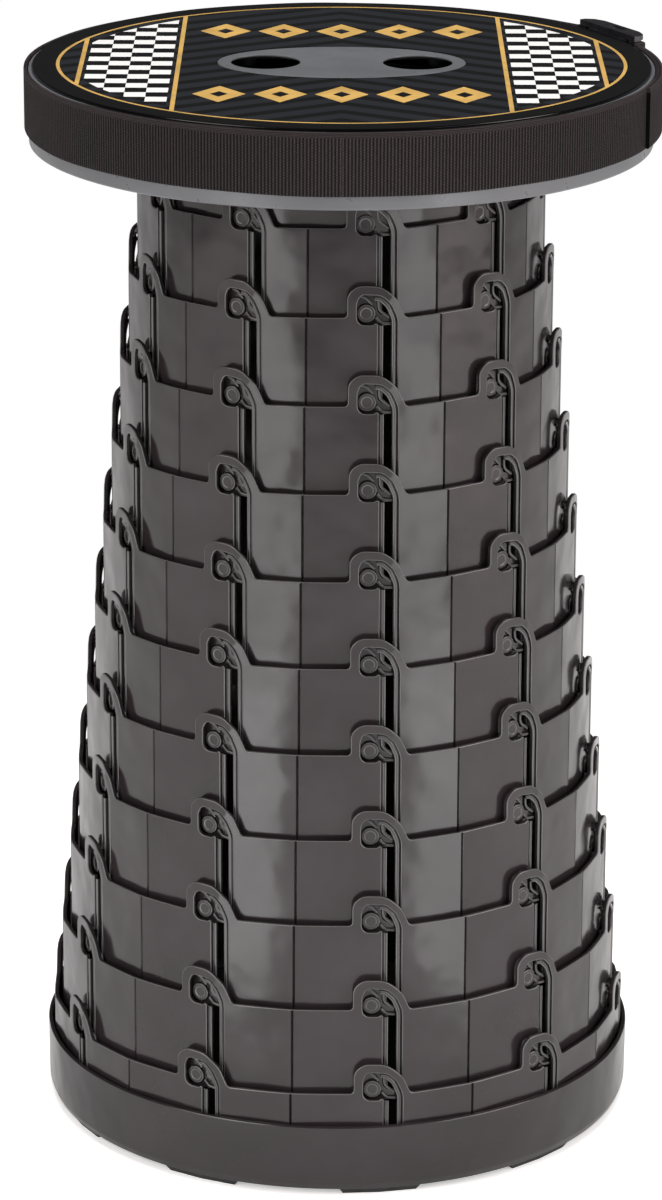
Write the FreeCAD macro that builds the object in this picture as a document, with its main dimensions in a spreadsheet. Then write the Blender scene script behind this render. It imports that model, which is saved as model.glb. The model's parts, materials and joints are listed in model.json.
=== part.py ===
"""Telescopic stool: a seat on a stack of nested rings that slide into each other and into a base tray.

Frame: +Z up, origin on the floor at the middle of the foot pads, -Y towards the photographed front.
Around the axis, turns are counted from the front towards +X.
"""
import FreeCAD, Part
import os
import re
import Sketcher

# Driving dimensions in mm and degrees: alias, value, meaning
SIZES = [
    ("hook_count", 10, "hooks, windows and pins around each ring"),
    ("hook_turn", 7, "turn of the first column of hooks from the front"),
    ("ring_pitch", 35, "height from one row of pins to the next, and the travel of a ring"),
    ("first_radius", 83.2, "outer radius of ring 1, the one under the seat"),
    ("radius_step", 3.82, "growth of the radius from a ring to the next"),
    ("ring_wall", 1.8, "wall of every ring"),
    ("running_gap", 0.3, "clearance between pieces that slide or seat"),
    ("bay_flats", 3, "moulded flats of the wall from one pin to the next; one is centred on each pin"),
    ("rim_drop", 1.9, "rim of a ring below its row of pins"),
    ("foot_drop", 6.4, "lower edge of a ring below its own pins"),
    ("pin_radius", 3.3, "corner radius of a locking pin"),
    ("hook_left", 8, "left side of a hook from its pin"),
    ("hook_right", 14.9, "right foot of a hook from its pin"),
    ("hook_top", 10.5, "crown of a hook above its pin"),
    ("band_width", 3.6, "width of the band over a hook's window"),
    ("slot_left", 4.35, "left side of the vertical slot from the pin"),
    ("slot_width", 7, "width of the vertical slot"),
    ("slot_foot", 4.2, "strip that closes the slot at the ring's lower edge"),
    ("seat_gap", 0.7, "clearance of the pin's seat around the pin"),
    ("tray_wall", 1.8, "wall of the tray"),
    ("tray_lip", 30.8, "height of the tray's lip over the floor"),
    ("tray_floor", 2.3, "thickness of the tray's floor"),
    ("tray_edge", 1.6, "bevel around the tray's lower edge"),
    ("catch_reach", 0.6, "how far the pins of the lowest ring reach into the tray's wall"),
    ("pad_height", 2.5, "height of a foot pad"),
    ("pad_width", 10, "radial width of a foot pad"),
    ("pad_turn", 15.8, "length of a foot pad as a turn"),
    ("pad_first", 8.4, "turn of the first foot pad from the front"),
    ("pad_slant", 30, "slant of the sides of a foot pad"),
    ("pad_inset", 0.6, "outer side of the foot pads inside the tray's"),
    ("pad_count", 10, "foot pads"),
    ("hub_rise", 42, "foot of the pan's plate over the uppermost row of pins"),
    ("cover_radius", 124.4, "radius of the printed cover"),
    ("cover_thick", 1.6, "thickness of the printed cover"),
    ("brim_width", 1.4, "width of the pan's brim around the cover"),
    ("pan_plate", 3, "thickness of the pan's top plate"),
    ("pan_wall", 2.2, "thickness of the pan's skirt"),
    ("skirt_drop", 31.4, "lower edge of the skirt under the seat's top"),
    ("brim_drop", 1.2, "brim of the pan around the cover under the seat's top"),
    ("grip_length", 100, "length of the oval grip plate"),
    ("grip_width", 61, "width of the oval grip plate"),
    ("finger_radius", 14, "radius of a finger hole"),
    ("finger_land", 5.4, "grip plate left outside a finger hole"),
    ("boss_radius", 5, "radius of a screw boss"),
    ("boss_height", 8, "height of a screw boss"),
    ("flange_thick", 3.5, "thickness of the hub's inner flange"),
    ("flange_width", 17, "radial width of the hub's inner flange"),
    ("screw_count", 5, "screws that hold the hub under the pan"),
    ("screw_radius", 1.8, "shank radius of a seat screw"),
    ("screw_head", 3.6, "head radius of a seat screw"),
    ("screw_head_height", 2.4, "head height of a seat screw"),
    ("screw_bite", 6.5, "how far a seat screw goes into its boss"),
    ("strap_width", 25, "width of the webbing"),
    ("strap_thick", 1.6, "thickness of the webbing"),
    ("strap_drop", 0.6, "upper edge of the webbing under the seat's top"),
    ("strap_seat", 0.3, "clearance of the webbing around the pan"),
    ("buckle_turn", 119.5, "turn of the buckle's middle from the front"),
    ("buckle_half", 21, "half the length of the closed buckle"),
    ("buckle_thick", 7.5, "thickness of the buckle"),
    ("buckle_cheek", 2.1, "wall of the buckle above and below the webbing"),
    ("buckle_wall", 1.8, "wall of the buckle's socket"),
    ("buckle_split", 6, "mouth of the socket from the middle of the buckle"),
    ("buckle_round", 8, "length over which an end of the buckle rounds off"),
    ("bar_width", 3, "width of the bars that hold the webbing"),
    ("bar_thick", 2.6, "thickness of the bars"),
    ("bar_slot", 4, "width of the slots beside the bars"),
    ("prong_width", 4.5, "width of the plug's side prongs"),
    ("prong_length", 14, "length of the plug's prongs"),
    ("window_length", 8, "length of the socket's side windows"),
]
RING_COUNT = 11

doc = FreeCAD.newDocument("telescopic_stool")
sheet = doc.addObject("Spreadsheet::Sheet", "Sizes")
for row, (alias, value, meaning) in enumerate(SIZES, start=1):
    sheet.set(f"A{row}", meaning)
    sheet.set(f"B{row}", str(value))
    sheet.setAlias(f"B{row}", alias)
doc.recompute()


# Sizes that follow from the driving ones, each written from those above it
FOLLOWING = {
    "lowest_row": "@pad_height + @tray_floor + @ring_pitch + @foot_drop",
    "tray_top": "@pad_height + @tray_floor",
    "first_row": f"@lowest_row + @ring_pitch * {RING_COUNT - 1}",
    "plate_foot": "@first_row + @hub_rise",
    "plate_top": "@plate_foot + @pan_plate",
    "seat_height": "@plate_top + @cover_thick",
    "boss_foot": "@plate_foot - @boss_height",
    "flange_foot": "@boss_foot - @flange_thick",
    "hub_radius": "@first_radius - @radius_step",
    "boss_ring": "@hub_radius - @ring_wall - @flange_width / 2",
    "tray_bore": f"@first_radius + @radius_step * {RING_COUNT - 1} + @running_gap",
    "tray_radius": "@tray_bore + @tray_wall",
    "catch_face": "@tray_bore + @catch_reach",
    "pan_radius": "@cover_radius + @running_gap + @brim_width",
    "finger_offset": "@grip_length / 2 - @finger_radius - @finger_land",
    "belt_middle": "@seat_height - @strap_drop - @strap_width / 2",
    "belt_in": "@pan_radius + @strap_seat",
    "belt_room": "@strap_width + 2 * @running_gap + 0.2",
    "buckle_height": "@belt_room + 2 * @buckle_cheek",
    "buckle_in": "@pan_radius + @running_gap + 0.1",
    "bar_in": "@buckle_in + 0.5",
}


def bound(text):
    """An expression on the sheet: sizes that follow are written out, and aliases get the sheet's name."""
    for name in reversed(FOLLOWING):
        text = re.sub(rf"@{name}\b", f"({FOLLOWING[name]})", text)
    for alias, _, _ in sorted(SIZES, key=lambda size: -len(size[0])):
        text = text.replace(f"@{alias}", f"Sizes.{alias}")
    return text


def size(text):
    """The value in mm or degrees that an expression on the sheet has now."""
    value = sheet.evalExpression(bound(text))
    return float(getattr(value, "Value", value))


def bind(item, property_name, text):
    item.setExpression(property_name, bound(text))


def new_body(name):
    body = doc.addObject("PartDesign::Body", name)
    body.Label = name
    return body


def origin_item(body, role):
    return next(item for item in body.Origin.OriginFeatures if item.Role == role)


def new_sketch(body, name, plane, offset=None):
    """A sketch on one of the body's own origin planes, moved along its normal by an expression."""
    sketch = body.newObject("Sketcher::SketchObject", name)
    sketch.AttachmentSupport = [(origin_item(body, plane), "")]
    sketch.MapMode = "FlatFace"
    if offset:
        bind(sketch, "AttachmentOffset.Base.z", offset)
    return sketch


def add_outline(sketch, corners):
    """A closed outline of straight sides whose corners are pairs of expressions."""
    points = [FreeCAD.Vector(size(across), size(up), 0) for across, up in corners]
    first = sketch.GeometryCount
    count = len(points)
    for i in range(count):
        sketch.addGeometry(Part.LineSegment(points[i], points[(i + 1) % count]), False)
    for i in range(count):
        sketch.addConstraint(Sketcher.Constraint("Coincident", first + i, 2, first + (i + 1) % count, 1))
    for i, (across, up) in enumerate(corners):
        for kind, value, text in (("DistanceX", points[i].x, across), ("DistanceY", points[i].y, up)):
            index = sketch.addConstraint(Sketcher.Constraint(kind, -1, 1, first + i, 1, value))
            bind(sketch, f"Constraints[{index}]", text)


def add_circle(sketch, radius, across="0", up="0"):
    """A circle whose radius and centre are expressions."""
    centre = FreeCAD.Vector(size(across), size(up), 0)
    circle = sketch.addGeometry(Part.Circle(centre, FreeCAD.Vector(0, 0, 1), size(radius)), False)
    rules = [("Radius", (circle, size(radius)), radius)]
    rules.append(("DistanceX", (-1, 1, circle, 3, centre.x), across))
    rules.append(("DistanceY", (-1, 1, circle, 3, centre.y), up))
    for kind, places, text in rules:
        index = sketch.addConstraint(Sketcher.Constraint(kind, *places))
        bind(sketch, f"Constraints[{index}]", text)


def pad(body, name, sketch, length):
    feature = body.newObject("PartDesign::Pad", name)
    feature.Profile = sketch
    bind(feature, "Length", length)
    return feature


def pocket(body, name, sketch, length, outward=False):
    """A cut from the sketch's plane: down from a level plane, or outward from the plane through the axis."""
    feature = body.newObject("PartDesign::Pocket", name)
    feature.Profile = sketch
    bind(feature, "Length", length)
    feature.Reversed = outward
    return feature


def turn_profile(body, name, corners):
    """A body of revolution about the vertical axis: corners are pairs of radius and height."""
    profile = new_sketch(body, f"{name}_profile", "XZ_Plane")
    add_outline(profile, corners)
    feature = body.newObject("PartDesign::Revolution", name)
    feature.Profile = profile
    feature.ReferenceAxis = (profile, ["V_Axis"])
    feature.Angle = 360
    return feature


def around(body, name, features, count):
    """Copies of features around the body's vertical axis; the body's tip."""
    pattern = body.newObject("PartDesign::PolarPattern", name)
    pattern.Originals = features
    pattern.Axis = (origin_item(body, "Z_Axis"), [""])
    pattern.Angle = 360
    bind(pattern, "Occurrences", count)
    body.Tip = pattern
    return pattern


def place(item, height, turn="0"):
    bind(item, "Placement.Base.z", height)
    item.Placement.Rotation = FreeCAD.Rotation(FreeCAD.Vector(0, 0, 1), size(turn))


def polar(radius, turn):
    """A corner at a radius and a turn from the front, as a pair of expressions."""
    return f"({radius}) * sin(({turn}) * 1 deg)", f"-({radius}) * cos(({turn}) * 1 deg)"


def ring_radius(number):
    return f"(@first_radius + @radius_step * {number - 1})"


# Rings: a thin wall of flats, a hook with its window over each pin seat, and pins at the foot

BAY_TURN = "(360 / @hook_count)"
FLAT_TURN = f"({BAY_TURN} / @bay_flats)"
BAY_FLATS = 3
PIN_CORNERS = 6
SCREW_CORNERS = 6
OVAL_CORNERS = 40


def bay_outline(outer, inner):
    """One bay of a ring's wall seen from above, a flat at its middle, between two corner radii."""
    turns = [f"{FLAT_TURN} * {i - BAY_FLATS / 2}" for i in range(BAY_FLATS + 1)]
    return [polar(outer, turn) for turn in turns] + [polar(inner, turn) for turn in reversed(turns)]


def gap_outline(radius):
    """What is cut from a bay above its rim, so that only the hook stands."""
    side, over = f"({radius} * sin({BAY_TURN} / 2 * 1 deg) + 1)", "@hook_top + 2"
    return [
        (f"-{side}", "-@rim_drop"),
        ("-@hook_left", "-@rim_drop"),
        ("-@hook_left * 0.93", "@hook_top * 0.6"),
        ("-@hook_left * 0.4", "@hook_top"),
        ("@hook_right * 0.24", "@hook_top"),
        ("@hook_right * 0.77", "@hook_top * 0.36"),
        ("@hook_right", "-@rim_drop"),
        (side, "-@rim_drop"),
        (side, over),
        (f"-{side}", over),
    ]


def window_outline():
    """The opening in a hook: the pin's seat on the left, an arch over it and the long slot on the right."""
    seat, right = "(@pin_radius + @seat_gap)", "(@slot_left + @slot_width)"
    arch, foot = "(@hook_top - @band_width)", "(@slot_foot - @ring_pitch - @foot_drop)"
    return [
        ("@slot_left", foot),
        ("@slot_left", f"-{seat} * 0.83"),
        (f"-{seat} * 0.2", f"-{seat} * 1.04"),
        (f"-{seat}", f"-{seat} * 0.4"),
        (f"-{seat} * 0.85", arch),
        (f"{seat} * 0.95", arch),
        (right, "0"),
        (right, foot),
    ]


def pin_outline(height):
    """The corners of a pin seen from the front, at a height."""
    turns = [f"{180 / PIN_CORNERS * (2 * i + 1)} deg" for i in range(PIN_CORNERS)]
    return [(f"@pin_radius * sin({turn})", f"{height} + @pin_radius * cos({turn})") for turn in turns]


def flat_of(radius):
    """Distance from the axis to the flat in front of a pin, for a wall whose corners lie on a radius."""
    return f"({radius} * cos({FLAT_TURN} / 2 * 1 deg))"


def add_pin(body, number, face, height):
    """One pin that stands out of a ring's wall at the front, from inside the wall to its face."""
    root = flat_of(f"({ring_radius(number)} - @ring_wall / 2)")
    sketch = new_sketch(body, "pin_outline", "XZ_Plane", root)
    add_outline(sketch, pin_outline(height))
    return pad(body, "pin", sketch, f"{face} - {root}")


def next_wall(number):
    """Where a ring's pins end: the running gap before the inner face of the ring around it."""
    return f"({flat_of(f'({ring_radius(number + 1)} - @ring_wall)')} - @running_gap)"


def make_ring(number):
    """A ring whose local zero is the row of pin seats in its hooks."""
    radius = ring_radius(number)
    body = new_body(f"ring_{number:02d}")
    low, height = "-@ring_pitch - @foot_drop", "@ring_pitch + @foot_drop + @hook_top + 1"
    wall = add_bay(body, "wall", radius, f"({radius} - @ring_wall)", low, height)
    gap_sketch = new_sketch(body, "gap_outline", "XZ_Plane")
    add_outline(gap_sketch, gap_outline(radius))
    gap = pocket(body, "gap", gap_sketch, f"{radius} + 5", outward=True)
    window_sketch = new_sketch(body, "window_outline", "XZ_Plane")
    add_outline(window_sketch, window_outline())
    window = pocket(body, "window", window_sketch, f"{radius} + 5", outward=True)
    face = next_wall(number) if number < RING_COUNT else "@catch_face"
    pin = add_pin(body, number, face, "-@ring_pitch")
    around(body, "bays", [wall, gap, window, pin], "@hook_count")
    place(body, f"@lowest_row + @ring_pitch * {RING_COUNT - number}", "@hook_turn")
    return body


def add_bay(body, name, outer, inner, low, height):
    """One bay of a wall or flange from a height upward."""
    sketch = new_sketch(body, f"{name}_outline", "XY_Plane", low)
    add_outline(sketch, bay_outline(outer, inner))
    return pad(body, name, sketch, height)


def make_hub():
    """The innermost tube, fixed under the seat, with the pins that seat in ring 1."""
    radius = ring_radius(0)
    body = new_body("hub_ring")
    inner = f"({radius} - @ring_wall)"
    tube = add_bay(body, "tube", radius, inner, "-@foot_drop", "@foot_drop + @plate_foot - @first_row")
    low = "(@flange_foot - @first_row)"
    flange = add_bay(body, "flange", inner, f"({radius} - @flange_width)", low, "@flange_thick")
    pin = add_pin(body, 0, next_wall(0), "0")
    around(body, "bays", [tube, flange, pin], "@hook_count")
    hole_sketch = new_sketch(body, "hole_outline", "XY_Plane", f"{low} + @flange_thick")
    add_outline(hole_sketch, boss_outline("@screw_radius + @running_gap", "-@hook_turn"))
    hole = pocket(body, "hole", hole_sketch, "@flange_thick")
    around(body, "holes", [hole], "@screw_count")
    place(body, "@first_row", "@hook_turn")
    return body


def boss_outline(radius, turn="0"):
    """The corners of a screw's boss, hole or shank at a turn on the circle of screws."""
    centre_across, centre_up = polar("@boss_ring", turn)
    angles = [f"{360 / SCREW_CORNERS * i} deg" for i in range(SCREW_CORNERS)]
    return [
        (f"({radius}) * cos({angle}) + {centre_across}", f"({radius}) * sin({angle}) + {centre_up}")
        for angle in angles
    ]


def oval_outline(growth="0"):
    """The oval of the grip plate about the axis, grown by an expression."""
    half_length, half_width = f"(@grip_length / 2 + {growth})", f"(@grip_width / 2 + {growth})"
    turns = [f"{360 / OVAL_CORNERS * i} deg" for i in range(OVAL_CORNERS)]
    return [(f"{half_length} * cos({turn})", f"{half_width} * sin({turn})") for turn in turns]


def make_pan():
    """The grey seat moulding: plate, raised oval grip with two finger holes, skirt and screw bosses."""
    body = new_body("seat_pan")
    brim, skirt = "(@cover_radius + @running_gap)", "(@pan_radius - @pan_wall)"
    turn_profile(body, "bowl", [
        ("0", "@plate_foot"),
        (skirt, "@plate_foot"),
        (skirt, "@seat_height - @skirt_drop"),
        ("@pan_radius", "@seat_height - @skirt_drop"),
        ("@pan_radius", "@seat_height - @brim_drop"),
        (brim, "@seat_height - @brim_drop"),
        (brim, "@plate_top"),
        ("0", "@plate_top"),
    ])
    grip_sketch = new_sketch(body, "grip_outline", "XY_Plane", "@plate_top")
    add_outline(grip_sketch, oval_outline())
    pad(body, "grip", grip_sketch, "@cover_thick")
    finger_sketch = new_sketch(body, "finger_outline", "XY_Plane", "@seat_height")
    add_circle(finger_sketch, "@finger_radius", across="@finger_offset")
    add_circle(finger_sketch, "@finger_radius", across="-@finger_offset")
    pocket(body, "finger_holes", finger_sketch, "@cover_thick + @pan_plate")
    boss_sketch = new_sketch(body, "boss_outline", "XY_Plane", "@boss_foot")
    add_outline(boss_sketch, boss_outline("@boss_radius"))
    boss = pad(body, "boss", boss_sketch, "@boss_height")
    pilot_sketch = new_sketch(body, "pilot_outline", "XY_Plane", "@boss_foot + @screw_bite + @running_gap")
    add_outline(pilot_sketch, boss_outline("@screw_radius + 0.05"))
    pilot = pocket(body, "pilot", pilot_sketch, "@screw_bite + @running_gap")
    around(body, "bosses", [boss, pilot], "@screw_count")
    return body


def make_cover():
    """The printed sheet over the pan, cut out around the oval grip."""
    body = new_body("seat_cover")
    sketch = new_sketch(body, "cover_outline", "XY_Plane", "@plate_top")
    add_circle(sketch, "@cover_radius")
    add_outline(sketch, oval_outline("@running_gap"))
    pad(body, "sheet", sketch, "@cover_thick")
    return body


def make_screws():
    """The screws that go up through the hub's flange into the pan's bosses."""
    body = new_body("seat_screws")
    head_sketch = new_sketch(body, "head_outline", "XY_Plane", "@flange_foot - @screw_head_height")
    add_outline(head_sketch, boss_outline("@screw_head"))
    head = pad(body, "head", head_sketch, "@screw_head_height")
    shank_sketch = new_sketch(body, "shank_outline", "XY_Plane", "@flange_foot")
    add_outline(shank_sketch, boss_outline("@screw_radius"))
    shank = pad(body, "shank", shank_sketch, "@flange_thick + @screw_bite")
    around(body, "screws", [head, shank], "@screw_count")
    return body


def make_tray():
    """The base: a shallow cup with catches in its wall for the lowest ring's pins."""
    body = new_body("base_tray")
    turn_profile(body, "cup", [
        ("0", "@pad_height"),
        ("@tray_radius - @tray_edge", "@pad_height"),
        ("@tray_radius", "@pad_height + @tray_edge * 2"),
        ("@tray_radius", "@tray_lip"),
        ("@tray_bore", "@tray_lip"),
        ("@tray_bore", "@tray_top"),
        ("0", "@tray_top"),
    ])
    catch_sketch = new_sketch(body, "catch_outline", "XZ_Plane", "@tray_bore - @tray_wall")
    half, low = "(@pin_radius + @seat_gap)", "@tray_top + @foot_drop"
    corners = [(f"{x}{half}", f"{low} {z} {half}") for x, z in (("-", "-"), ("", "-"), ("", "+"), ("-", "+"))]
    add_outline(catch_sketch, corners)
    depth = "@tray_wall + @catch_reach + @running_gap"
    catch = pocket(body, "catch", catch_sketch, depth, outward=True)
    around(body, "catches", [catch], "@hook_count")
    place(body, "0", "@hook_turn")
    return body


def make_pads():
    """The foot pads under the tray's edge, wider at the top than on the floor."""
    body = new_body("foot_pads")
    sketch = new_sketch(body, "pad_outline", "XY_Plane", "@pad_height")
    outer = "(@tray_radius - @tray_edge - @pad_inset)"
    turns = [f"@pad_turn * {side}" for side in (-0.5, 0, 0.5)]
    corners = [polar(outer, turn) for turn in turns]
    corners += [polar(f"{outer} - @pad_width", turn) for turn in reversed(turns)]
    add_outline(sketch, corners)
    block = pad(body, "pad", sketch, "@pad_height")
    block.Reversed = True
    bind(block, "TaperAngle", "-@pad_slant")
    around(body, "pads", [block], "@pad_count")
    place(body, "0", "@pad_first")
    return body


# Strap and buckle: local -Y points out of the seat at the middle of the buckle

def box_outline(left, right, near, far):
    """A rectangle in the plan of the buckle: along it from left to right, outward from near to far."""
    return [(left, f"-({near})"), (right, f"-({near})"), (right, f"-({far})"), (left, f"-({far})")]


def add_block(body, name, corners, low, height):
    """A block over an outline in plan, from a height below the belt's middle line upward."""
    sketch = new_sketch(body, f"{name}_outline", "XY_Plane", low)
    add_outline(sketch, corners)
    return pad(body, name, sketch, height)


def cut_block(body, name, corners, top, height):
    """A cut under an outline in plan, from a height downward."""
    sketch = new_sketch(body, f"{name}_outline", "XY_Plane", top)
    add_outline(sketch, corners)
    return pocket(body, name, sketch, height)


def half_outline(mouth, side):
    """The plan of one half of the buckle, from its mouth to its rounded end on side -1 or 1."""
    shares = ((1, 1), (0.3, 0.76), (0, 0.36), (0, 0))
    outline = [(mouth, "-@buckle_in"), (mouth, "-(@buckle_in + @buckle_thick)")]
    outline += [
        (f"{side} * (@buckle_half - @buckle_round * {back})", f"-(@buckle_in + @buckle_thick * {out})")
        for back, out in shares
    ]
    return outline


def cut_bar(body, side):
    """The bar that the webbing loops around at one end, side -1 or 1, with its slot and its hollow."""
    tall = "@belt_room"
    end, bar, slot = "@buckle_half", "(@buckle_half - @bar_width)", "(@buckle_half - @bar_width - @bar_slot)"
    near, far = "(@buckle_in - 1)", "(@buckle_in + @buckle_thick + 1)"

    def span(inner, outer):
        return (f"-{outer}", f"-{inner}") if side < 0 else (inner, outer)

    slot_span, bar_span = span(slot, bar), span(bar, f"({end} + 1)")
    top = f"{tall} / 2"
    cut_block(body, "slot", box_outline(*slot_span, near, far), top, tall)
    cut_block(body, "bar_outside", box_outline(*bar_span, "(@bar_in + @bar_thick)", far), top, tall)
    cut_block(body, "bar_inside", box_outline(*bar_span, near, "@bar_in"), top, tall)


def make_socket():
    """The female half of the buckle: a flat hollow box with side windows and a bar for the webbing."""
    body = new_body("buckle_socket")
    low, tall = "-@buckle_height / 2", "@buckle_height"
    add_block(body, "box", half_outline("@buckle_split", -1), low, tall)
    back = "(@buckle_split + @running_gap - @prong_length - 2)"
    near, far = "(@buckle_in + @buckle_wall)", "(@buckle_in + @buckle_thick - @buckle_wall)"
    hollow = box_outline(back, "(@buckle_split + 1)", near, far)
    cut_block(body, "hollow", hollow, f"{tall} / 2 - @buckle_wall", f"{tall} - 2 * @buckle_wall")
    window = box_outline("@buckle_split - 4 - @window_length", "@buckle_split - 4", near, far)
    cut_block(body, "side_windows", window, f"{tall} / 2 + 1", f"{tall} + 2")
    cut_bar(body, -1)
    place(body, "@belt_middle", "@buckle_turn")
    return body


def make_plug():
    """The male half of the buckle: a bar for the webbing, a middle tongue and two prongs with heads."""
    body = new_body("buckle_plug")
    root = "(@buckle_split + @running_gap)"
    add_block(body, "grip", half_outline(root, 1), "-@buckle_height / 2", "@buckle_height")
    skin = "(@buckle_wall + @running_gap)"
    near, far = f"(@buckle_in + {skin})", f"(@buckle_in + @buckle_thick - {skin})"
    tip, inside = f"({root} - @prong_length)", "(@buckle_height / 2 - @buckle_wall - @running_gap)"
    stem = box_outline(tip, f"({root} + 1)", near, far)
    head = box_outline("(@buckle_split - 3.4 - @window_length)", "(@buckle_split - 4.4)", near, far)
    for name, corners, low, high in (
        ("tongue", stem, "-@prong_width / 2", "@prong_width / 2"),
        ("upper_prong", stem, f"({inside} - @prong_width)", inside),
        ("lower_prong", stem, f"-{inside}", f"(@prong_width - {inside})"),
        ("upper_head", head, f"({inside} - 1)", "(@buckle_height / 2 - 0.4)"),
        ("lower_head", head, "-(@buckle_height / 2 - 0.4)", f"-({inside} - 1)"),
    ):
        add_block(body, name, corners, low, f"{high} - ({low})")
    cut_bar(body, 1)
    place(body, "@belt_middle", "@buckle_turn")
    return body


def make_strap():
    """The webbing around the pan, its two ends looped around the bars of the buckle."""
    body = new_body("strap")
    low, gap, cloth = "-@strap_width / 2", "@running_gap", "@strap_thick"
    band_sketch = new_sketch(body, "band_outline", "XY_Plane", low)
    add_circle(band_sketch, f"@belt_in + {cloth}")
    add_circle(band_sketch, "@belt_in")
    pad(body, "band", band_sketch, "@strap_width")
    opening = f"(@buckle_half + {gap} + 2 * {cloth} + 2)"
    cut = box_outline(f"-{opening}", opening, "@pan_radius / 2", "(@belt_in + 10)")
    cut_block(body, "opening", cut, "@strap_width / 2 + 1", "@strap_width + 2")
    outer_end, inner_end = "@buckle_half", "(@buckle_half - @bar_width)"
    for side, name in (("-", "left"), ("", "right")):
        far = f"{side}({outer_end} + {gap} + {cloth})"
        near = f"{side}({inner_end} - {gap} - {cloth})"
        foot, crown = f"(@bar_in - {gap} - {cloth})", f"(@bar_in + @bar_thick + {gap} + {cloth})"
        add_block(body, f"{name}_loop", box_outline(far, near, foot, crown), low, "@strap_width")
        start = f"{side}({opening} + 3)"
        rim = f"(sqrt((@belt_in + {cloth} / 2) ^ 2 - ({opening} + 3) ^ 2))"
        run = [
            (start, f"-({rim} - {cloth} / 2)"),
            (start, f"-({rim} + {cloth} / 2)"),
            (f"{side}({outer_end} - 0.5)", f"-({foot} + {cloth})"),
            (f"{side}({outer_end} - 0.5)", f"-{foot}"),
        ]
        add_block(body, f"{name}_run", run, low, "@strap_width")
        hole = box_outline(
            f"{side}({outer_end} + {gap})",
            f"{side}({inner_end} - {gap})",
            f"(@bar_in - {gap})",
            f"(@bar_in + @bar_thick + {gap})",
        )
        cut_block(body, f"{name}_eye", hole, "@strap_width / 2 + 1", "@strap_width + 2")
    place(body, "@belt_middle", "@buckle_turn")
    return body


def check(item):
    """Stops the build if an object is in error or has no sound shape."""
    if "Invalid" in item.State or "Error" in item.State:
        raise RuntimeError(f"{item.Label}: {item.State}")
    shape = getattr(item, "Shape", None)
    if shape is not None and (shape.isNull() or not shape.isValid()):
        raise RuntimeError(f"{item.Label}: no sound shape")


def main():
    """Builds every sub-part and exports each to its own file."""
    parts = [make_ring(number) for number in range(1, RING_COUNT + 1)]
    parts += [make_hub(), make_pan(), make_cover(), make_screws(), make_strap(), make_socket(), make_plug()]
    parts += [make_tray(), make_pads()]
    doc.recompute()
    for item in doc.Objects:
        check(item)
    os.makedirs("parts", exist_ok=True)
    for part in parts:
        part.Shape.exportStep(f"parts/{part.Label}.step")


main()
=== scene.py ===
import json
import math

import bpy
import numpy as np
from bpy.props import FloatProperty, FloatVectorProperty, IntProperty, PointerProperty
from mathutils import Matrix, Vector
from mathutils.geometry import delaunay_2d_cdt


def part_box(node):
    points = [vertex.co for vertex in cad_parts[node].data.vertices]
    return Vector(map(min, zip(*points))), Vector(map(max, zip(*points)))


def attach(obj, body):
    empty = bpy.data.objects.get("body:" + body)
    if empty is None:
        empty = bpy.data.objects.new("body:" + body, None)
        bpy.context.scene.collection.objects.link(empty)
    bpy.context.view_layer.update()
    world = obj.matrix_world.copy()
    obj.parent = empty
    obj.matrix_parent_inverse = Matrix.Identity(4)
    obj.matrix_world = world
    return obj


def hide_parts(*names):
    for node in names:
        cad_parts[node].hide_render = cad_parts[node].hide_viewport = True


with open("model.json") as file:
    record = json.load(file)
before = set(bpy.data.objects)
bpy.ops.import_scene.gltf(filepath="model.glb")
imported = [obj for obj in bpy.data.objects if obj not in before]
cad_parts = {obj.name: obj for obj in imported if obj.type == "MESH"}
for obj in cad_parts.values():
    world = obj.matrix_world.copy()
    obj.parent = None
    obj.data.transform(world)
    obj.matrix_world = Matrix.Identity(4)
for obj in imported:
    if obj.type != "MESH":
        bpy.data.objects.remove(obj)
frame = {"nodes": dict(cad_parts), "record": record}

bl_info = {
    "name": "Telescopic stool",
    "version": (1, 0, 0),
    "blender": (4, 5, 0),
    "location": "3D View > Sidebar > Stool",
    "description": "Dresses a pull-out stool: hook rings, printed seat, webbing strap, base tray",
    "category": "Add Mesh",
}

MM = 0.001
RINGS = sorted(node for node in frame["nodes"] if node.startswith("ring_"))
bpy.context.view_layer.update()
SEAM = math.radians(16)  # a bay's scored line lies this far left of its pin seat
NOISE_SPAN = (0.3, 0.7)  # where nearly all values of a noise lie


def node_points(node):
    """A node's points at rest, in mm."""
    return np.array([vertex.co for vertex in frame["nodes"][node].data.vertices]) / MM


def radius_of(node):
    """The radius in mm of the circle through the outer corners of a ring's foot."""
    points = node_points(node)
    foot = points[points[:, 2] < points[:, 2].min() + 0.5]
    return float(np.hypot(foot[:, 0], foot[:, 1]).max())


def body_of(node):
    """The body that carries a node."""
    bodies = frame["record"]["behaviour"]["bodies"]
    return next(name for name, nodes in bodies.items() if node in nodes)


def linear(colour):
    """An sRGB hex colour as linear RGBA."""
    parts = [int(colour[i : i + 2], 16) / 255 for i in (1, 3, 5)]
    return (*(c / 12.92 if c <= 0.04045 else ((c + 0.055) / 1.055) ** 2.4 for c in parts), 1.0)


def shade(colour, share=1.0):
    """A linear colour as RGBA, darker or lighter by a share."""
    return (*(min(1.0, c * share) for c in colour[:3]), 1.0)


# Settings


def mm(name, about, default):
    """A size in millimetres."""
    return FloatProperty(name=name, description=f"{about}, in mm", default=default)


def turn(name, about, degrees):
    """An angle."""
    default = math.radians(degrees)
    return FloatProperty(name=name, description=about, default=default, unit="ROTATION")


def metres(name, about, default):
    """A length in metres."""
    return FloatProperty(name=name, description=about, default=default, unit="LENGTH")


def tint(name, about, colour):
    """A colour from its sRGB hex value."""
    return FloatVectorProperty(
        name=name, description=about, default=linear(colour)[:3], size=3, subtype="COLOR"
    )


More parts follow.
